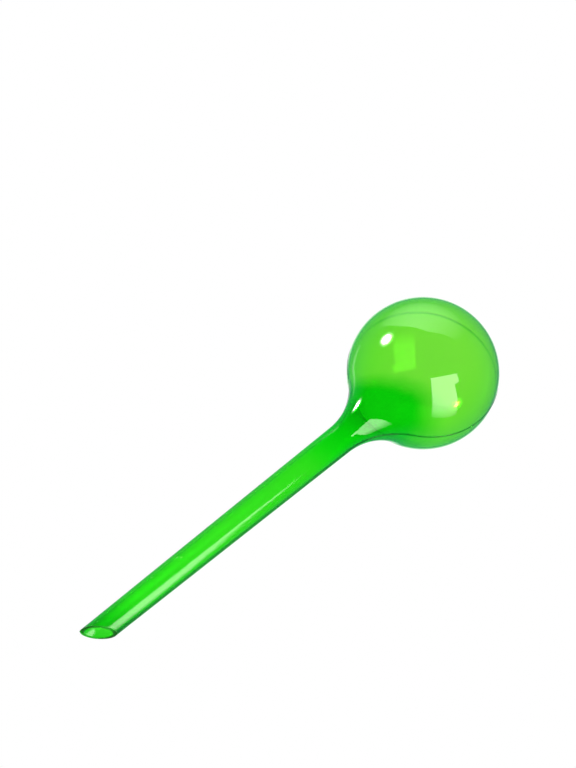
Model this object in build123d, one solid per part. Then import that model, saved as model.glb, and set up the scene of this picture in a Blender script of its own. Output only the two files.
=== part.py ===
"""Plant watering globe: a hollow ball on a tapered feed stem, closed from two lapped half shells.

The frame is the globe's own, as it stands in a pot: +Z runs up the stem to the ball, and the origin
is on the axis at the soil line, where the straight stem ends and the neck begins to flare. The seam
lies in the XZ plane, and the slanted tip comes to its point on the -X side of the stem.
"""

import os
from math import atan, cos, hypot, sin, sqrt

from build123d import *

# Outside form, in millimetres and degrees
BALL_RADIUS = 37.5
NECK_BLEND_RADIUS = 36.5
STEM_TOP_RADIUS = 7.5
STEM_TIP_RADIUS = 6.0
STEM_LENGTH = 163.0
TIP_ANGLE = 46.0

# Walls: the blow-thin crown of the ball, and the neck and stem
CROWN_WALL = 0.9
STEM_WALL = 1.3

# Seam: the lap between the shells, and the weld that fills the groove outside it
LAP_REACH = 1.5
LAP_DEPTH = 0.5
GLUE_LINE = 0.1
WELD_WIDTH = 1.0
WELD_CROWN = 0.15

# The stem's slope, and the centre of the neck's arc, which touches the stem at the soil line
STEM_SLOPE = atan((STEM_TOP_RADIUS - STEM_TIP_RADIUS) / STEM_LENGTH)
BLEND_X = STEM_TOP_RADIUS + NECK_BLEND_RADIUS * cos(STEM_SLOPE)
BLEND_Z = -NECK_BLEND_RADIUS * sin(STEM_SLOPE)
BALL_Z = BLEND_Z + sqrt((BALL_RADIUS + NECK_BLEND_RADIUS) ** 2 - BLEND_X**2)
CROWN_Z = BALL_Z + BALL_RADIUS

# The whole length, which is also how far the cutting solids reach
LENGTH = CROWN_Z + STEM_LENGTH


def ball_at_depth(crown_depth, blend_radius):
    """The ball that touches the neck's arc and lies crown_depth below the crown: radius and height."""
    rise = CROWN_Z - crown_depth - BLEND_Z
    radius = (rise**2 + BLEND_X**2 - blend_radius**2) / (2 * (rise + blend_radius))
    return radius, CROWN_Z - crown_depth - radius


def half_outline(stem_depth, crown_depth):
    """Half of the globe's lengthwise section, set in by these depths at the stem and the crown."""
    blend_radius = NECK_BLEND_RADIUS + stem_depth
    radius, height = ball_at_depth(crown_depth, blend_radius)
    across = cos(STEM_SLOPE)
    along = sin(STEM_SLOPE)
    soil_point = (BLEND_X - blend_radius * across, BLEND_Z + blend_radius * along)
    drop = STEM_LENGTH + BALL_RADIUS
    foot = (soil_point[0] - drop * along / across, soil_point[1] - drop)
    reach = hypot(BLEND_X, height - BLEND_Z)
    neck_point = (BLEND_X * radius / reach, height - (height - BLEND_Z) * radius / reach)
    neck_middle = mid_arc((BLEND_X, BLEND_Z), blend_radius, soil_point, neck_point)
    crown = (0, height + radius)
    edges = [
        Line((0, foot[1]), foot),
        Line(foot, soil_point),
        ThreePointArc(soil_point, neck_middle, neck_point),
        ThreePointArc(neck_point, (radius, height), crown),
        Line(crown, (0, foot[1])),
    ]
    return Plane.XZ * make_face(edges)


def mid_arc(centre, radius, start, end):
    """The point half-way along the short arc from start to end."""
    toward_x = (start[0] + end[0]) / 2 - centre[0]
    toward_z = (start[1] + end[1]) / 2 - centre[1]
    length = hypot(toward_x, toward_z)
    return centre[0] + radius * toward_x / length, centre[1] + radius * toward_z / length


def solid_at_depth(stem_depth, crown_depth):
    """The globe's solid of revolution, its surface set in by these depths."""
    return revolve(half_outline(stem_depth, crown_depth), Axis.Z)


def slab(y_from, y_to):
    """Everything between two planes of constant Y."""
    return Pos(0, (y_from + y_to) / 2, 0) * Box(LENGTH, y_to - y_from, 2 * LENGTH)


def below_tip():
    """The half space below the slanted tip, bounded by the plane through the stem's point."""
    point = Pos(-STEM_TIP_RADIUS, 0, -STEM_LENGTH)
    block = Box(LENGTH, LENGTH, LENGTH, align=(Align.CENTER, Align.CENTER, Align.MAX))
    return point * Rot(0, TIP_ANGLE - 90, 0) * block


# The surfaces of the wall, from the outside in
outside = solid_at_depth(0, 0)
lap_face = solid_at_depth(LAP_DEPTH, LAP_DEPTH)
lip_face = solid_at_depth(LAP_DEPTH + GLUE_LINE, LAP_DEPTH + GLUE_LINE)
inside = solid_at_depth(STEM_WALL, CROWN_WALL)

# The shells: the front one keeps the lip, and the rear one is rebated to lap over it
groove = WELD_WIDTH / 2
tip_waste = below_tip()
wall = outside - inside - tip_waste
front_shell = wall & slab(-LENGTH, LAP_REACH)
front_shell -= slab(-groove, LENGTH) - lip_face
rear_shell = wall & slab(groove, LENGTH)
rear_shell -= lap_face & slab(0, LAP_REACH)

# The weld: a strip of even width that runs up one side of the globe and down the other
weld_half = half_outline(-WELD_CROWN, -WELD_CROWN) - half_outline(LAP_DEPTH, LAP_DEPTH)
weld_outline = weld_half + mirror(weld_half, about=Plane.YZ)
seam_weld = extrude(weld_outline, amount=groove, both=True) - tip_waste

pieces = {
    "front_shell": front_shell,
    "rear_shell": rear_shell,
    "seam_weld": seam_weld,
}

os.makedirs("parts", exist_ok=True)
for name, piece in pieces.items():
    export_step(piece, f"parts/{name}.step")
    print(name, len(piece.solids()), "solid", round(piece.volume, 1), "mm3")
print("total length", round(LENGTH, 2), "ball centre at", round(BALL_Z, 2))
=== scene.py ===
from math import asin, atan, atan2, cos, pi, radians, sin, sqrt, tan

import bmesh
import bpy
from mathutils import Matrix, Vector


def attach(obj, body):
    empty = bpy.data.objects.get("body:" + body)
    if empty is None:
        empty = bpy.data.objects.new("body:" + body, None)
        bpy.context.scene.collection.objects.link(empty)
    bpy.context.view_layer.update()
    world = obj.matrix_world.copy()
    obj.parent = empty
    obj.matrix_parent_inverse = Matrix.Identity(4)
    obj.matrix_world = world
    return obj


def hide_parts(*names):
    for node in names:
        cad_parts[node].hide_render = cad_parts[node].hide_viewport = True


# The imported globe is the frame, and its box is the limit of what is modelled here
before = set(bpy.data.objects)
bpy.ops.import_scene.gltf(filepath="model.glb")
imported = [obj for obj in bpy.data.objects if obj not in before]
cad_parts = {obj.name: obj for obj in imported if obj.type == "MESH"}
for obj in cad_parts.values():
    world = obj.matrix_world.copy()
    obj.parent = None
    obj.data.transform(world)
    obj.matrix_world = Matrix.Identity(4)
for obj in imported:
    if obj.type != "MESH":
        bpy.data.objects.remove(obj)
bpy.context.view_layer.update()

# Sizes of the globe, in metres and radians, as in the part's source
MM = 0.001
BALL_RADIUS = 37.5 * MM
NECK_BLEND_RADIUS = 36.5 * MM
STEM_TOP_RADIUS = 7.5 * MM
STEM_TIP_RADIUS = 6.0 * MM
STEM_LENGTH = 163.0 * MM
TIP_ANGLE = radians(46.0)
CROWN_WALL = 0.9 * MM
STEM_WALL = 1.3 * MM
SEAM_WIDTH = 1.0 * MM
SEAM_CROWN = 0.15 * MM

# Finer form: the rounded edges of the mouth, and how far the cement soaks into the shells
RIM_ROUND = 0.3 * MM
SEAM_SOAK = 0.02 * MM
SEAM_SINK = 0.01 * MM

# Rows along the wall and columns round it
BALL_ROWS = 90
NECK_ROWS = 26
STEM_ROWS = 44
ROUND_ROWS = 8
HALF_COLUMNS = 120
SEAM_COLUMNS = 8
CUT_PASSES = 5
SHARP_ANGLE = radians(30.0)
MERGE_DISTANCE = 0.001 * MM

# The stem's slope, and the centre of the neck's arc
STEM_SLOPE = atan((STEM_TOP_RADIUS - STEM_TIP_RADIUS) / STEM_LENGTH)
BLEND_X = STEM_TOP_RADIUS + NECK_BLEND_RADIUS * cos(STEM_SLOPE)
BLEND_Z = -NECK_BLEND_RADIUS * sin(STEM_SLOPE)
BALL_Z = BLEND_Z + sqrt((BALL_RADIUS + NECK_BLEND_RADIUS) ** 2 - BLEND_X**2)
CROWN_Z = BALL_Z + BALL_RADIUS
BALL_CENTRE = Vector((0, 0, BALL_Z))

# Where the stem's level rows give way to rows that follow the slanted cut, in tip radii across the stem
SLANT_RADII = 3.0
SLANT_TOP = -STEM_LENGTH + SLANT_RADII * STEM_TIP_RADIUS / tan(TIP_ANGLE)
LEVEL_SHARE = -SLANT_TOP / STEM_LENGTH

# The photograph's view: where the camera stands, how it is turned, and what its lens is
VIEW_AZIMUTH = radians(22.0)
VIEW_ELEVATION = radians(-27.2)
VIEW_ROLL = radians(52.26)
VIEW_DISTANCE = 1.240
BALL_RIGHT_OF_MIDDLE = 0.0663
BALL_ABOVE_MIDDLE = 0.0053
LENS_LENGTH = 118.3
SENSOR_SIDE = 36.0

# The lamps that the gloss shows: their images on the ball, in ball radii right of and above its middle
LAMP_IMAGE = (-0.469, 0.435)
LAMP_IMAGE_RADIUS = 0.135
LAMP_SIDES = 48
LAMP_DISTANCE = 0.70
LAMP_STRENGTH = 250.0
LAMP_CORE = 0.12
LAMP_FALL = 6.6
LAMP_COLOUR = (1.0, 0.97, 0.92, 1)
WINDOW_IMAGE = [(0.1, -0.063), (0.428, 0.0), (0.461, -0.109), (0.402, -0.135), (0.42, -0.54), (0.11, -0.57)]
WINDOW_DISTANCE = 0.30
WINDOW_STRENGTH = 6.0
WINDOW_CORE = 0.55
WINDOW_DIM = 0.05
WINDOW_COLOUR = (1.0, 0.7, 0.88, 1)
STRIP_IMAGE = [(-0.905, -0.18), (-0.875, -0.18), (-0.80, 0.36), (-0.83, 0.36)]
STRIP_DISTANCE = 0.50
STRIP_STRENGTH = 1.6
STRIP_COLOUR = (1.0, 0.8, 1.0, 1)

# The soft box above the ball: its outline and bright spot, right of and in front of the ball's middle
BOX_ABOVE = 0.12
BOX_OUTLINE = [(0.13, 0.08), (0.01, 0.08), (-0.06, 0.036), (-0.115, -0.035), (-0.16, -0.14), (0.13, -0.14)]
BOX_BRIGHT = (-0.02, 0.05)
BOX_REACH = (0.15, 0.12)
BOX_STRENGTH = 2.1
BOX_CORE = 0.1
BOX_COLOUR = (1.0, 0.85, 1.0, 1)

# The floor, and the plain light on it
FLOOR_DROP = 0.95
FLOOR_SIZE = 24.0
FLOOR_COLOUR = (0.93, 0.93, 0.93, 1)
FLOOR_ROUGHNESS = 0.75
FLOOR_GRAIN = 0.1
FLOOR_GRAIN_SCALE = 3.0
FLOOR_GRAIN_DETAIL = 2.0
PLAIN_LIGHT = 0.95

# How bright the room is, in the outer gloss and in gloss that is seen through the wall
BRIGHT_SIDE = 0.3
BRIGHT_THROUGH = 0.7
DIM_RIGHT = 0.25
DARK_SIDE = 0.05
DARK_THROUGH = 0.6
ROOM_COLOUR = (0.35, 0.9, 1.0, 1)
WHITE = (1, 1, 1, 1)

# Where the room changes, as cosines toward the camera, or toward its right for the last
BACKDROP_EDGE = (-0.995, -0.9)
DARK_EDGE = (-0.5, 0.3)
RIGHT_EDGE = (0.1, 0.7)

# How often light may bounce, and half a step between two counts of bounces
LIGHT_BOUNCES = 40
HALF_COUNT = 0.5

# The plastic: its refraction, and how much light a metre of it takes up
PLASTIC_IOR = 1.53
ABSORPTION_COLOUR = (0.4, 0.99, 0.1, 1)
ABSORPTION_DENSITY = 1000.0
SHELL_CLEAR = 0.985
SEAM_CLEAR = 0.96

# The polish of the shells and the cement, with its fine grain
SHELL_ROUGHNESS = 0.02
SEAM_ROUGHNESS = 0.06
GRAIN_SCALE = 260.0
GRAIN_DETAIL = 3.0

# The slight waves of a moulded wall
WAVE_SCALE = 45.0
WAVE_DETAIL = 1.0
WAVE_STRENGTH = 0.04
WAVE_HEIGHT = 0.2 * MM

# Fine scuffs where the stem goes into the soil, from none at the soil line to full below
STEM_SCUFF = 0.13
SCUFF_FULL = -50.0 * MM

# The matt slanted cut: the line square to it, where it lies along that, and how deep it is matt
CUT_LINE = Vector((-cos(TIP_ANGLE), 0, sin(TIP_ANGLE)))
CUT_START = CUT_LINE.dot(Vector((-STEM_TIP_RADIUS, 0, -STEM_LENGTH)))
CUT_MATT = 0.6
CUT_DEPTH = 0.35 * MM

# The tint of each pass through the wall, by the distance along a line that leans off the stem, with painted
# shade in the deep green stops beside the neck and at the tip
TINT_AND_SHADE_LINE = Vector((0.39, 0.06, -0.92))
TINT_AND_SHADE_STOPS = [
    (-37.5 * MM, (0.86, 0.93, 0.56)),
    (5.0 * MM, (0.82, 0.92, 0.51)),
    (22.0 * MM, (0.79, 0.91, 0.49)),
    (28.5 * MM, (0.012, 0.71, 0.01)),
    (41.0 * MM, (0.02, 0.77, 0.02)),
    (58.0 * MM, (0.05, 0.88, 0.05)),
    (76.0 * MM, (0.37, 0.92, 0.25)),
    (127.0 * MM, (0.42, 0.94, 0.28)),
    (176.0 * MM, (0.31, 0.92, 0.21)),
    (195.0 * MM, (0.09, 0.75, 0.08)),
    (206.0 * MM, (0.02, 0.62, 0.02)),
]
SHELL_SHADE = (1.0, 1.0, 1.0)
SEAM_SHADE = (0.6, 1.0, 0.6)

# The deep tint beside the neck, partly painted shade, ends along a second line
SIDE_LINE = Vector((-0.923, -0.186, -0.337))
SIDE_START = 30.8 * MM
SIDE_FADE = 0.4
SIDE_SLOPE = 4.0
SIDE_ROUND = 8.0 * MM

# The tint and its painted shade drift a little to and fro
DRIFT_REACH = 8.0 * MM
DRIFT_SCALE = 35.0
DRIFT_DETAIL = 2.0
DRIFT_MIDDLE = 0.5


class Skin:
    """One surface of the wall, set in from the outside by these depths at the stem and the crown."""

    def __init__(self, stem_depth, crown_depth):
        self.blend = NECK_BLEND_RADIUS + stem_depth
        rise = CROWN_Z - crown_depth - BLEND_Z
        self.ball = (rise**2 + BLEND_X**2 - self.blend**2) / (2 * (rise + self.blend))
        self.ball_z = CROWN_Z - crown_depth - self.ball
        self.lean = atan2(self.ball_z - BLEND_Z, BLEND_X)
        self.soil_r = BLEND_X - self.blend * cos(STEM_SLOPE)
        self.soil_z = BLEND_Z + self.blend * sin(STEM_SLOPE)

    def on_ball(self, share, hole):
        """Radius, height and outward normal on the ball, from a hole at the crown (0) to the neck (1)."""
        start = asin(hole / self.ball)
        angle = start + share * (pi / 2 + self.lean - start)
        return self.ball * sin(angle), self.ball_z + self.ball * cos(angle), sin(angle), cos(angle)

    def on_neck(self, share):
        """The same on the neck, from the ball (0) to the soil line (1)."""
        angle = self.lean + share * (STEM_SLOPE - self.lean)
        radius = BLEND_X - self.blend * cos(angle)
        return radius, BLEND_Z + self.blend * sin(angle), cos(angle), -sin(angle)

    def on_stem(self, height):
        """The same on the stem at this height."""
        radius = self.soil_r - (self.soil_z - height) * tan(STEM_SLOPE)
        return radius, height, cos(STEM_SLOPE), -sin(STEM_SLOPE)

    def along_stem(self, place, share):
        """A placed point of the stem, from the soil line (0) to the slanted cut (1), level at first."""
        cut = -STEM_LENGTH
        for _ in range(CUT_PASSES):
            cut = -STEM_LENGTH + (place(*self.on_stem(cut)).x + STEM_TIP_RADIUS) / tan(TIP_ANGLE)
        level = self.soil_z + (SLANT_TOP - self.soil_z) * min(1, share / LEVEL_SHARE)
        slanted = (cut - SLANT_TOP) * max(0, share - LEVEL_SHARE) / (1 - LEVEL_SHARE)
        return place(*self.on_stem(level + slanted))


OUTSIDE = Skin(0, 0)
INSIDE = Skin(STEM_WALL, CROWN_WALL)


def bend(start, corner, end, share):
    """A point on the curve that rounds a corner."""
    return start.lerp(corner, share).lerp(corner.lerp(end, share), share)


def wall_column(place_outer, place_inner, hole):
    """Pairs of points across the wall, from the crown down the ball, neck and stem and round the rim."""
    pairs = []
    for row in range(BALL_ROWS):
        share = row / BALL_ROWS
        pairs.append((place_outer(*OUTSIDE.on_ball(share, hole)), place_inner(*INSIDE.on_ball(share, hole))))
    for row in range(NECK_ROWS):
        share = row / NECK_ROWS
        pairs.append((place_outer(*OUTSIDE.on_neck(share)), place_inner(*INSIDE.on_neck(share))))
    straight = 1 - RIM_ROUND / STEM_LENGTH
    for row in range(STEM_ROWS + 1):
        share = straight * row / STEM_ROWS
        pairs.append((OUTSIDE.along_stem(place_outer, share), INSIDE.along_stem(place_inner, share)))
    outer_end, inner_end = pairs[-1]
    outer_corner = OUTSIDE.along_stem(place_outer, 1)
    inner_corner = INSIDE.along_stem(place_inner, 1)
    across = (inner_corner - outer_corner).normalized() * RIM_ROUND
    for row in range(1, ROUND_ROWS + 1):
        share = row / ROUND_ROWS
        outer = bend(outer_end, outer_corner, outer_corner + across, share)
        inner = bend(inner_end, inner_corner, inner_corner - across, share)
        pairs.append((outer, inner))
    return pairs


def shell_columns(side):
    """Columns round one half of the globe, from one seam edge to the other."""
    half = SEAM_WIDTH / 2
    columns = []
    for column in range(HALF_COLUMNS + 1):
        turn = column / HALF_COLUMNS

        def place(radius, height, *_):
            edge = asin(min(1, half / radius))
            angle = edge + turn * (pi - 2 * edge)
            return Vector((radius * cos(angle), side * radius * sin(angle), height))

        columns.append(wall_column(place, place, half))
    return columns


def seam_columns():
    """Columns across the seam's width, each running from one rim over the crown to the other."""
    half = SEAM_WIDTH / 2 + SEAM_SOAK
    columns = []
    for column in range(SEAM_COLUMNS + 1):
        across = half * (2 * column / SEAM_COLUMNS - 1)
        bead = SEAM_CROWN * (1 - (across / half) ** 2) - SEAM_SINK
        runs = []
        for side in (-1, 1):

            def lift(raised):
                def place(radius, height, normal_r, normal_z):
                    curve = normal_r / radius if radius > half else 1 / BALL_RADIUS
                    rise = raised - across**2 / 2 * curve
                    return Vector((side * (radius + rise * normal_r), across, height + rise * normal_z))

                return place

            runs.append(wall_column(lift(bead), lift(SEAM_SINK), 0))
        left, right = runs
        columns.append(left[::-1] + right[1:])
    return columns


def wall_mesh(name, columns, shut_start):
    """A closed wall through columns of paired points, with an edge face at each side and each rim."""
    points = []
    index = []
    for column in columns:
        index.append([])
        for pair in column:
            index[-1].append((len(points), len(points) + 1))
            points += pair
    faces = []
    for left, right in zip(index, index[1:]):
        for row in range(len(left) - 1):
            faces.append((left[row][0], left[row + 1][0], right[row + 1][0], right[row][0]))
            faces.append((left[row][1], right[row][1], right[row + 1][1], left[row + 1][1]))
        faces.append((left[-1][0], left[-1][1], right[-1][1], right[-1][0]))
        if shut_start:
            faces.append((left[0][0], right[0][0], right[0][1], left[0][1]))
    for column in (index[0], index[-1]):
        for upper, lower in zip(column, column[1:]):
            faces.append((upper[0], lower[0], lower[1], upper[1]))
    mesh = bpy.data.meshes.new(name)
    mesh.from_pydata(points, [], faces)
    work = bmesh.new()
    work.from_mesh(mesh)
    bmesh.ops.remove_doubles(work, verts=work.verts, dist=MERGE_DISTANCE)
    bmesh.ops.recalc_face_normals(work, faces=work.faces)
    work.to_mesh(mesh)
    work.free()
    mesh.shade_smooth()
    mesh.set_sharp_from_angle(angle=SHARP_ANGLE)
    return mesh


def add_object(name, mesh, material):
    """A new object of this mesh and material in the scene."""
    thing = bpy.data.objects.new(name, mesh)
    thing.data.materials.append(material)
    bpy.context.scene.collection.objects.link(thing)
    return thing


class Nodes:
    """Short ways to add and link shader nodes."""

    def __init__(self, tree):
        self.tree = tree
        tree.nodes.clear()

    def add(self, kind, inputs=None, **settings):
        node = self.tree.nodes.new(kind)
        for key, value in settings.items():
            setattr(node, key, value)
        for key, value in (inputs or {}).items():
            if isinstance(value, bpy.types.NodeSocket):
                self.tree.links.new(value, node.inputs[key])
            else:
                node.inputs[key].default_value = value
        return node

    def math(self, operation, *values):
        return self.add("ShaderNodeMath", dict(enumerate(values)), operation=operation).outputs[0]

    def vector(self, operation, *values):
        return self.add("ShaderNodeVectorMath", dict(enumerate(values)), operation=operation).outputs["Value"]

    def noise(self, spot, scale, detail):
        settings = {"Vector": spot, "Scale": scale, "Detail": detail}
        return self.add("ShaderNodeTexNoise", settings).outputs["Fac"]

    def map(self, value, start, end, low, high, kind="SMOOTHSTEP"):
        settings = {"Value": value, "From Min": start, "From Max": end, "To Min": low, "To Max": high}
        return self.add("ShaderNodeMapRange", settings, interpolation_type=kind).outputs["Result"]

    def ramp(self, factor, stops):
        node = self.add("ShaderNodeValToRGB", {"Fac": factor})
        elements = node.color_ramp.elements
        while len(elements) < len(stops):
            elements.new(0.5)
        for element, (place, colour) in zip(elements, stops):
            element.position = place
            element.color = (*colour, 1)
        return node.outputs["Color"]

    def mix(self, factor, first, second):
        return self.add("ShaderNodeMix", {0: factor, 2: first, 3: second}, data_type="FLOAT").outputs[0]

    def past(self, spot, line, start):
        """How far a spot lies along a line, past a start."""
        return self.math("SUBTRACT", self.vector("DOT_PRODUCT", spot, line), start)

    def depth(self, kind):
        """How often the ray has bounced off a gloss, or gone through a surface, on its way."""
        return self.add("ShaderNodeLightPath").outputs[kind + " Depth"]

    def ever(self, kind):
        """Whether the ray has done so at all."""
        return self.math("GREATER_THAN", self.depth(kind), HALF_COUNT)


def new_material(name):
    """A new material and its empty node tree."""
    material = bpy.data.materials.new(name)
    material.use_nodes = True
    return material, Nodes(material.node_tree)


def plastic(name, shade, roughness, clear):
    """Clear tinted plastic with painted shade: its tint pools deep beside the neck and darkens at the tip,
    and thins along the stem.
    """
    material, nodes = new_material(name)
    spot = nodes.add("ShaderNodeTexCoord").outputs["Object"]
    along = nodes.past(spot, TINT_AND_SHADE_LINE, BALL_CENTRE.dot(TINT_AND_SHADE_LINE))
    aside = nodes.past(spot, SIDE_LINE, BALL_CENTRE.dot(SIDE_LINE))
    inner = nodes.math("MULTIPLY", nodes.math("MAXIMUM", aside, 0.0), SIDE_SLOPE)
    limit = nodes.math("MULTIPLY_ADD", aside, SIDE_FADE, nodes.math("ADD", inner, SIDE_START))
    # Painted shade: the deep green pool beside the neck ends along the side line
    pooled = nodes.math("SMOOTH_MIN", along, limit, SIDE_ROUND)
    drift = nodes.math("SUBTRACT", nodes.noise(spot, DRIFT_SCALE, DRIFT_DETAIL), DRIFT_MIDDLE)
    shifted = nodes.math("MULTIPLY_ADD", drift, DRIFT_REACH, pooled)
    start, end = TINT_AND_SHADE_STOPS[0][0], TINT_AND_SHADE_STOPS[-1][0]
    share = nodes.map(shifted, start, end, 0.0, 1.0, "LINEAR")
    stops = []
    for place, colour in TINT_AND_SHADE_STOPS:
        stops.append(((place - start) / (end - start), [c * s for c, s in zip(colour, shade)]))
    # The ramp gives the plastic's tint, with painted shade in its deep stops
    tint_and_shade = nodes.ramp(share, stops)
    grain = nodes.noise(spot, GRAIN_SCALE, GRAIN_DETAIL)
    gloss = nodes.math("MULTIPLY_ADD", grain, roughness, roughness / 2)
    height = nodes.add("ShaderNodeSeparateXYZ", {"Vector": spot}).outputs["Z"]
    gloss = nodes.math("ADD", gloss, nodes.map(height, SCUFF_FULL, 0.0, STEM_SCUFF, 0.0))
    above_cut = nodes.past(spot, CUT_LINE, CUT_START)
    gloss = nodes.math("ADD", gloss, nodes.map(above_cut, CUT_DEPTH / 2, CUT_DEPTH, CUT_MATT, 0.0))
    wave = nodes.noise(spot, WAVE_SCALE, WAVE_DETAIL)
    bump = nodes.add(
        "ShaderNodeBump",
        {"Height": wave, "Strength": WAVE_STRENGTH, "Distance": WAVE_HEIGHT},
    ).outputs["Normal"]
    shader = nodes.add(
        "ShaderNodeBsdfPrincipled",
        {
            "Base Color": tint_and_shade,
            "Roughness": gloss,
            "IOR": PLASTIC_IOR,
            "Transmission Weight": clear,
            "Normal": bump,
        },
    ).outputs["BSDF"]
    depth = nodes.add(
        "ShaderNodeVolumeAbsorption",
        {"Color": ABSORPTION_COLOUR, "Density": ABSORPTION_DENSITY},
    ).outputs["Volume"]
    nodes.add("ShaderNodeOutputMaterial", {"Surface": shader, "Volume": depth})
    return material


# The two half shells and the cement between them
shell_plastic = plastic("shell_plastic", SHELL_SHADE, SHELL_ROUGHNESS, SHELL_CLEAR)
seam_cement = plastic("seam_cement", SEAM_SHADE, SEAM_ROUGHNESS, SEAM_CLEAR)
front = add_object("front_half", wall_mesh("front_half", shell_columns(-1), False), shell_plastic)
rear = add_object("rear_half", wall_mesh("rear_half", shell_columns(1), False), shell_plastic)
seam = add_object("seam_bead", wall_mesh("seam_bead", seam_columns(), True), seam_cement)
for piece, node, slot in (
    (front, "front_shell", "shell_plastic"),
    (rear, "rear_shell", "shell_plastic"),
    (seam, "seam_weld", "seam_cement"),
):
    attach(piece, "root")
    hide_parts(node)

# The camera's axes in the globe's frame, and where it stands
view_back = Vector((
    sin(VIEW_AZIMUTH) * cos(VIEW_ELEVATION),
    -cos(VIEW_AZIMUTH) * cos(VIEW_ELEVATION),
    sin(VIEW_ELEVATION),
))
level_right = Vector((cos(VIEW_AZIMUTH), sin(VIEW_AZIMUTH), 0))
view_right = cos(VIEW_ROLL) * level_right + sin(VIEW_ROLL) * view_back.cross(level_right)
view_up = view_back.cross(view_right)
view_middle = BALL_CENTRE - BALL_RIGHT_OF_MIDDLE * view_right - BALL_ABOVE_MIDDLE * view_up
eye = view_middle + VIEW_DISTANCE * view_back

# The line of sight to the ball's middle, with the directions right of and above it
sight_back = (eye - BALL_CENTRE).normalized()
sight_right = view_up.cross(sight_back).normalized()
sight_up = sight_back.cross(sight_right)


def mirrored(right, above):
    """A point of the ball's front, in ball radii from its middle, and where the camera's ray goes off it."""
    toward = sqrt(1 - right**2 - above**2)
    normal = right * sight_right + above * sight_up + toward * sight_back
    place = BALL_CENTRE + BALL_RADIUS * normal
    ray = (place - eye).normalized()
    return place, ray - 2 * ray.dot(normal) * normal


def panel_corners(image, distance):
    """Corners of a flat panel that shows this image on the ball, and its middle."""
    right = sum(point[0] for point in image) / len(image)
    above = sum(point[1] for point in image) / len(image)
    place, axis = mirrored(right, above)
    middle = place + distance * axis
    corners = []
    for point in image:
        place, ray = mirrored(*point)
        corners.append(place + (middle - place).dot(axis) / ray.dot(axis) * ray)
    return corners, middle


def standing(place, first, second, third):
    """The matrix of a thing that stands at this place with these axes."""
    return Matrix.Translation(place) @ Matrix((first, second, third)).transposed().to_4x4()


def add_panel(name, corners, material):
    """A flat stage panel through these corners."""
    mesh = bpy.data.meshes.new(name)
    mesh.from_pydata(corners, [], [list(range(len(corners)))])
    panel = add_object(name, mesh, material)
    return panel


def add_lamp(name, corners, colour, strength, centre, reach, core=0.0, dim=0.0, fall=1.0):
    """A flat lamp that shows once in the gloss and nowhere else, bright in a core and dim at its reach."""
    material, nodes = new_material(name)
    spot = nodes.add("ShaderNodeTexCoord").outputs["Object"]
    away = nodes.vector("DISTANCE", spot, centre)
    share = nodes.math("POWER", nodes.map(away, core * reach, reach, 1.0, dim, "LINEAR"), fall)
    once = nodes.math("COMPARE", nodes.depth("Glossy"), 1.0, HALF_COUNT)
    level = nodes.math("MULTIPLY", nodes.math("MULTIPLY", share, strength), once)
    glow = nodes.add("ShaderNodeEmission", {"Color": colour, "Strength": level}).outputs["Emission"]
    clear = nodes.add("ShaderNodeBsdfTransparent").outputs["BSDF"]
    both = nodes.add("ShaderNodeAddShader", {0: clear, 1: glow}).outputs["Shader"]
    nodes.add("ShaderNodeOutputMaterial", {"Surface": both})
    material.cycles.emission_sampling = "NONE"
    return add_panel(name, corners, material)


def square(half):
    """Corners of a level square about its middle."""
    return [(-half, -half, 0), (half, -half, 0), (half, half, 0), (-half, half, 0)]


# The round lamp
lamp_image = []
for corner in range(LAMP_SIDES):
    angle = 2 * pi * corner / LAMP_SIDES
    lamp_right = LAMP_IMAGE[0] + LAMP_IMAGE_RADIUS * cos(angle)
    lamp_image.append((lamp_right, LAMP_IMAGE[1] + LAMP_IMAGE_RADIUS * sin(angle)))
lamp_corners, lamp_middle = panel_corners(lamp_image, LAMP_DISTANCE)
lamp_reach = (lamp_corners[0] - lamp_middle).length
add_lamp(
    "round_lamp",
    lamp_corners,
    LAMP_COLOUR,
    LAMP_STRENGTH,
    lamp_middle,
    lamp_reach,
    core=LAMP_CORE,
    fall=LAMP_FALL,
)

# The window, brightest along its upper edge
window_corners, _ = panel_corners(WINDOW_IMAGE, WINDOW_DISTANCE)
window_bright = (window_corners[0] + window_corners[1]) / 2
window_reach = (window_corners[-1] - window_bright).length
add_lamp(
    "window_lamp",
    window_corners,
    WINDOW_COLOUR,
    WINDOW_STRENGTH,
    window_bright,
    window_reach,
    core=WINDOW_CORE,
    dim=WINDOW_DIM,
)

# The strip lamp
strip_corners, strip_middle = panel_corners(STRIP_IMAGE, STRIP_DISTANCE)
strip_reach = (strip_corners[0] - strip_middle).length
add_lamp("strip_lamp", strip_corners, STRIP_COLOUR, STRIP_STRENGTH, strip_middle, strip_reach)

# The soft box, drawn in shares of its reach about its bright spot
box_corners = []
for right, ahead in BOX_OUTLINE:
    box_right = (right - BOX_BRIGHT[0]) / BOX_REACH[0]
    box_corners.append((box_right, (ahead - BOX_BRIGHT[1]) / BOX_REACH[1], 0))
box = add_lamp("soft_box", box_corners, BOX_COLOUR, BOX_STRENGTH, Vector(), 1.0, core=BOX_CORE)
box_middle = BALL_CENTRE + BOX_BRIGHT[0] * view_right + BOX_BRIGHT[1] * view_back + BOX_ABOVE * view_up
box.matrix_world = standing(box_middle, BOX_REACH[0] * view_right, BOX_REACH[1] * view_back, view_up)

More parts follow.
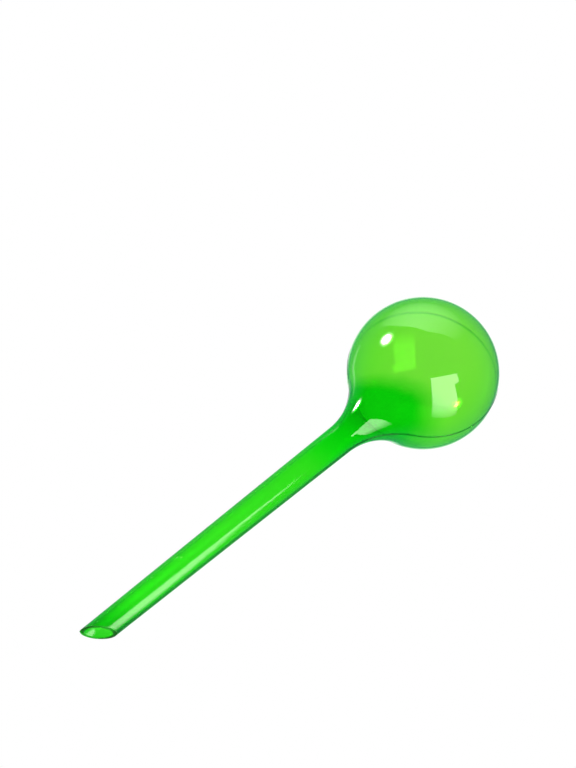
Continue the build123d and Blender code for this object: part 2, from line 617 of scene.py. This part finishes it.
# The floor, far enough down that the camera looks up at the globe from above it
floor_material, floor_nodes = new_material("floor")
floor_spot = floor_nodes.add("ShaderNodeTexCoord").outputs["Object"]
floor_grain = floor_nodes.noise(floor_spot, FLOOR_GRAIN_SCALE, FLOOR_GRAIN_DETAIL)
floor_gloss = floor_nodes.math("MULTIPLY_ADD", floor_grain, FLOOR_GRAIN, FLOOR_ROUGHNESS)
floor_shader = floor_nodes.add(
    "ShaderNodeBsdfPrincipled",
    {"Base Color": FLOOR_COLOUR, "Roughness": floor_gloss},
).outputs["BSDF"]
floor_clear = floor_nodes.add("ShaderNodeBsdfTransparent").outputs["BSDF"]
floor_mixed = floor_nodes.add(
    "ShaderNodeMixShader",
    {0: floor_nodes.ever("Glossy"), 1: floor_shader, 2: floor_clear},
).outputs["Shader"]
floor_nodes.add("ShaderNodeOutputMaterial", {"Surface": floor_mixed})
floor = add_panel("floor", square(FLOOR_SIZE / 2), floor_material)
floor.location.z = -FLOOR_DROP

# The world: white behind the globe, plain light on the floor, and the room that the gloss shows
world = bpy.data.worlds.new("studio")
world.use_nodes = True
bpy.context.scene.world = world
sky = Nodes(world.node_tree)
path = sky.add("ShaderNodeLightPath").outputs
seen = sky.math("MAXIMUM", path["Is Camera Ray"], path["Is Glossy Ray"])
seen = sky.math("MAXIMUM", seen, path["Is Transmission Ray"])
reflected = sky.ever("Glossy")
through = sky.ever("Transmission")
heading = sky.add("ShaderNodeTexCoord").outputs["Generated"]
facing = sky.vector("DOT_PRODUCT", heading, view_back)
rightward = sky.vector("DOT_PRODUCT", heading, view_right)
bright = sky.map(rightward, *RIGHT_EDGE, BRIGHT_THROUGH, DIM_RIGHT)
behind = sky.map(facing, *BACKDROP_EDGE, 1.0, sky.mix(through, BRIGHT_SIDE, bright))
room = sky.map(facing, *DARK_EDGE, behind, sky.mix(through, DARK_SIDE, DARK_THROUGH))
level = sky.mix(seen, PLAIN_LIGHT, sky.mix(reflected, 1.0, room))

# The room is cool where the outer gloss alone shows it, off the white backdrop
plain_gloss = sky.math("MULTIPLY", reflected, sky.math("SUBTRACT", 1.0, through))
cool = sky.math("MULTIPLY", plain_gloss, sky.map(facing, *BACKDROP_EDGE, 0.0, 1.0))
hue = sky.add("ShaderNodeMix", {0: cool, 6: WHITE, 7: ROOM_COLOUR}, data_type="RGBA").outputs[2]
glow = sky.add("ShaderNodeBackground", {"Color": hue, "Strength": level}).outputs["Background"]
sky.add("ShaderNodeOutputWorld", {"Surface": glow})

# The camera
camera_data = bpy.data.cameras.new("camera")
camera_data.lens = LENS_LENGTH
camera_data.sensor_width = SENSOR_SIDE
camera = bpy.data.objects.new("camera", camera_data)
bpy.context.scene.collection.objects.link(camera)
camera.matrix_world = standing(eye, view_right, view_up, view_back)
bpy.context.scene.camera = camera

# Light that runs along inside the wall bounces many times
cycles = bpy.context.scene.cycles
cycles.max_bounces = LIGHT_BOUNCES
cycles.transmission_bounces = LIGHT_BOUNCES
cycles.glossy_bounces = LIGHT_BOUNCES
cycles.sample_clamp_indirect = 0.0
bpy.context.scene.view_settings.view_transform = "Standard"
